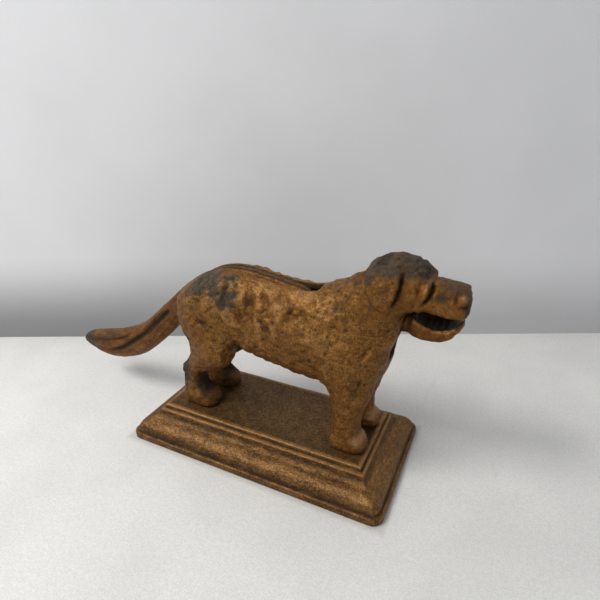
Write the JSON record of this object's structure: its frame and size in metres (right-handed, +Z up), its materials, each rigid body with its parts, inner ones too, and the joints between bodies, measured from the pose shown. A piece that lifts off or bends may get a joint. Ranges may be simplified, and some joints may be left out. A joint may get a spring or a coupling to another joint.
{
  "type": "figural lever nutcracker on a base",
  "caption": "Cast-iron standing dog on a stepped rectangular base, with a tail lever that opens a hinged lower jaw; usable as a door stop.",
  "frame": {"origin": "centre of the overall length and width, on the ground under the base; the base's own middle is 28.8 mm ahead of it", "axes": "+X towards the dog's nose, +Y to the dog's left, +Z up"},
  "size_m": [0.2793, 0.09, 0.1373],
  "materials": {
    "body_paint": "worn copper-bronze paint over dark cast iron, satin",
    "base_paint": "worn copper-bronze paint over dark cast iron, streaked, satin",
    "lever_paint": "worn copper-bronze paint over dark cast iron, satin",
    "steel": "dark oiled steel"
  },
  "bodies": {
    "body": {"base": "base_paint", "body_half_right": "body_paint", "body_half_left": "body_paint", "pivot_pin": "steel", "body_screw_front": "steel", "body_screw_rear": "steel", "base_screw_front_left": "steel", "base_screw_front_right": "steel", "base_screw_rear_left": "steel", "base_screw_rear_right": "steel"},
    "lever": {"tail_lever": "lever_paint"}
  },
  "joints": [
    {"name": "tail_lever_pivot", "type": "hinge", "parent": "body", "child": "lever", "pos_m": [0.0768, 0, 0.096], "axis": [0, 1, 0], "range_deg": [-1, 20]}
  ]
}
